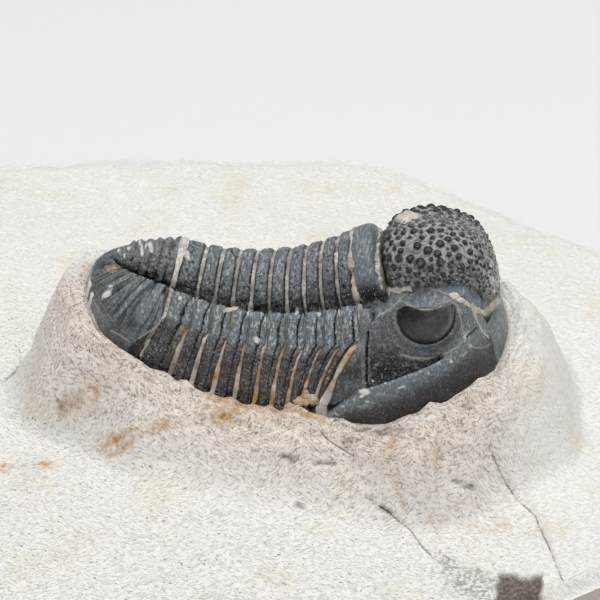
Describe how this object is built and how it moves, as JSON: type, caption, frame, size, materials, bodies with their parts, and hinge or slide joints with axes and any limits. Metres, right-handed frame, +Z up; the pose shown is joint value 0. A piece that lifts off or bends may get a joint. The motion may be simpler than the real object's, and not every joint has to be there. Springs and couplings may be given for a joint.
{
  "type": "trilobite fossil on a limestone block",
  "caption": "Devonian proetid trilobite, prepared in relief with its tuberculate head, ringed thorax and tail shield, lying on a flat-bottomed block of pale limestone.",
  "frame": {"origin": "middle of the block's flat underside", "axes": "+X from the trilobite's tail to its head, +Y to the animal's left side, +Z up"},
  "size_m": [0.064, 0.057, 0.0289],
  "materials": {
    "limestone": "matt, tooled and broken surfaces",
    "fossil_shell": "semi-gloss, dark calcite shell"
  },
  "bodies": {
    "root": {"matrix": "limestone", "cranidium": "fossil_shell", "free_cheek_right": "fossil_shell", "free_cheek_left": "fossil_shell", "thorax_segment_01": "fossil_shell", "thorax_segment_02": "fossil_shell", "thorax_segment_03": "fossil_shell", "thorax_segment_04": "fossil_shell", "thorax_segment_05": "fossil_shell", "thorax_segment_06": "fossil_shell", "thorax_segment_07": "fossil_shell", "thorax_segment_08": "fossil_shell", "thorax_segment_09": "fossil_shell", "thorax_segment_10": "fossil_shell", "pygidium": "fossil_shell"}
  },
  "joints": []
}
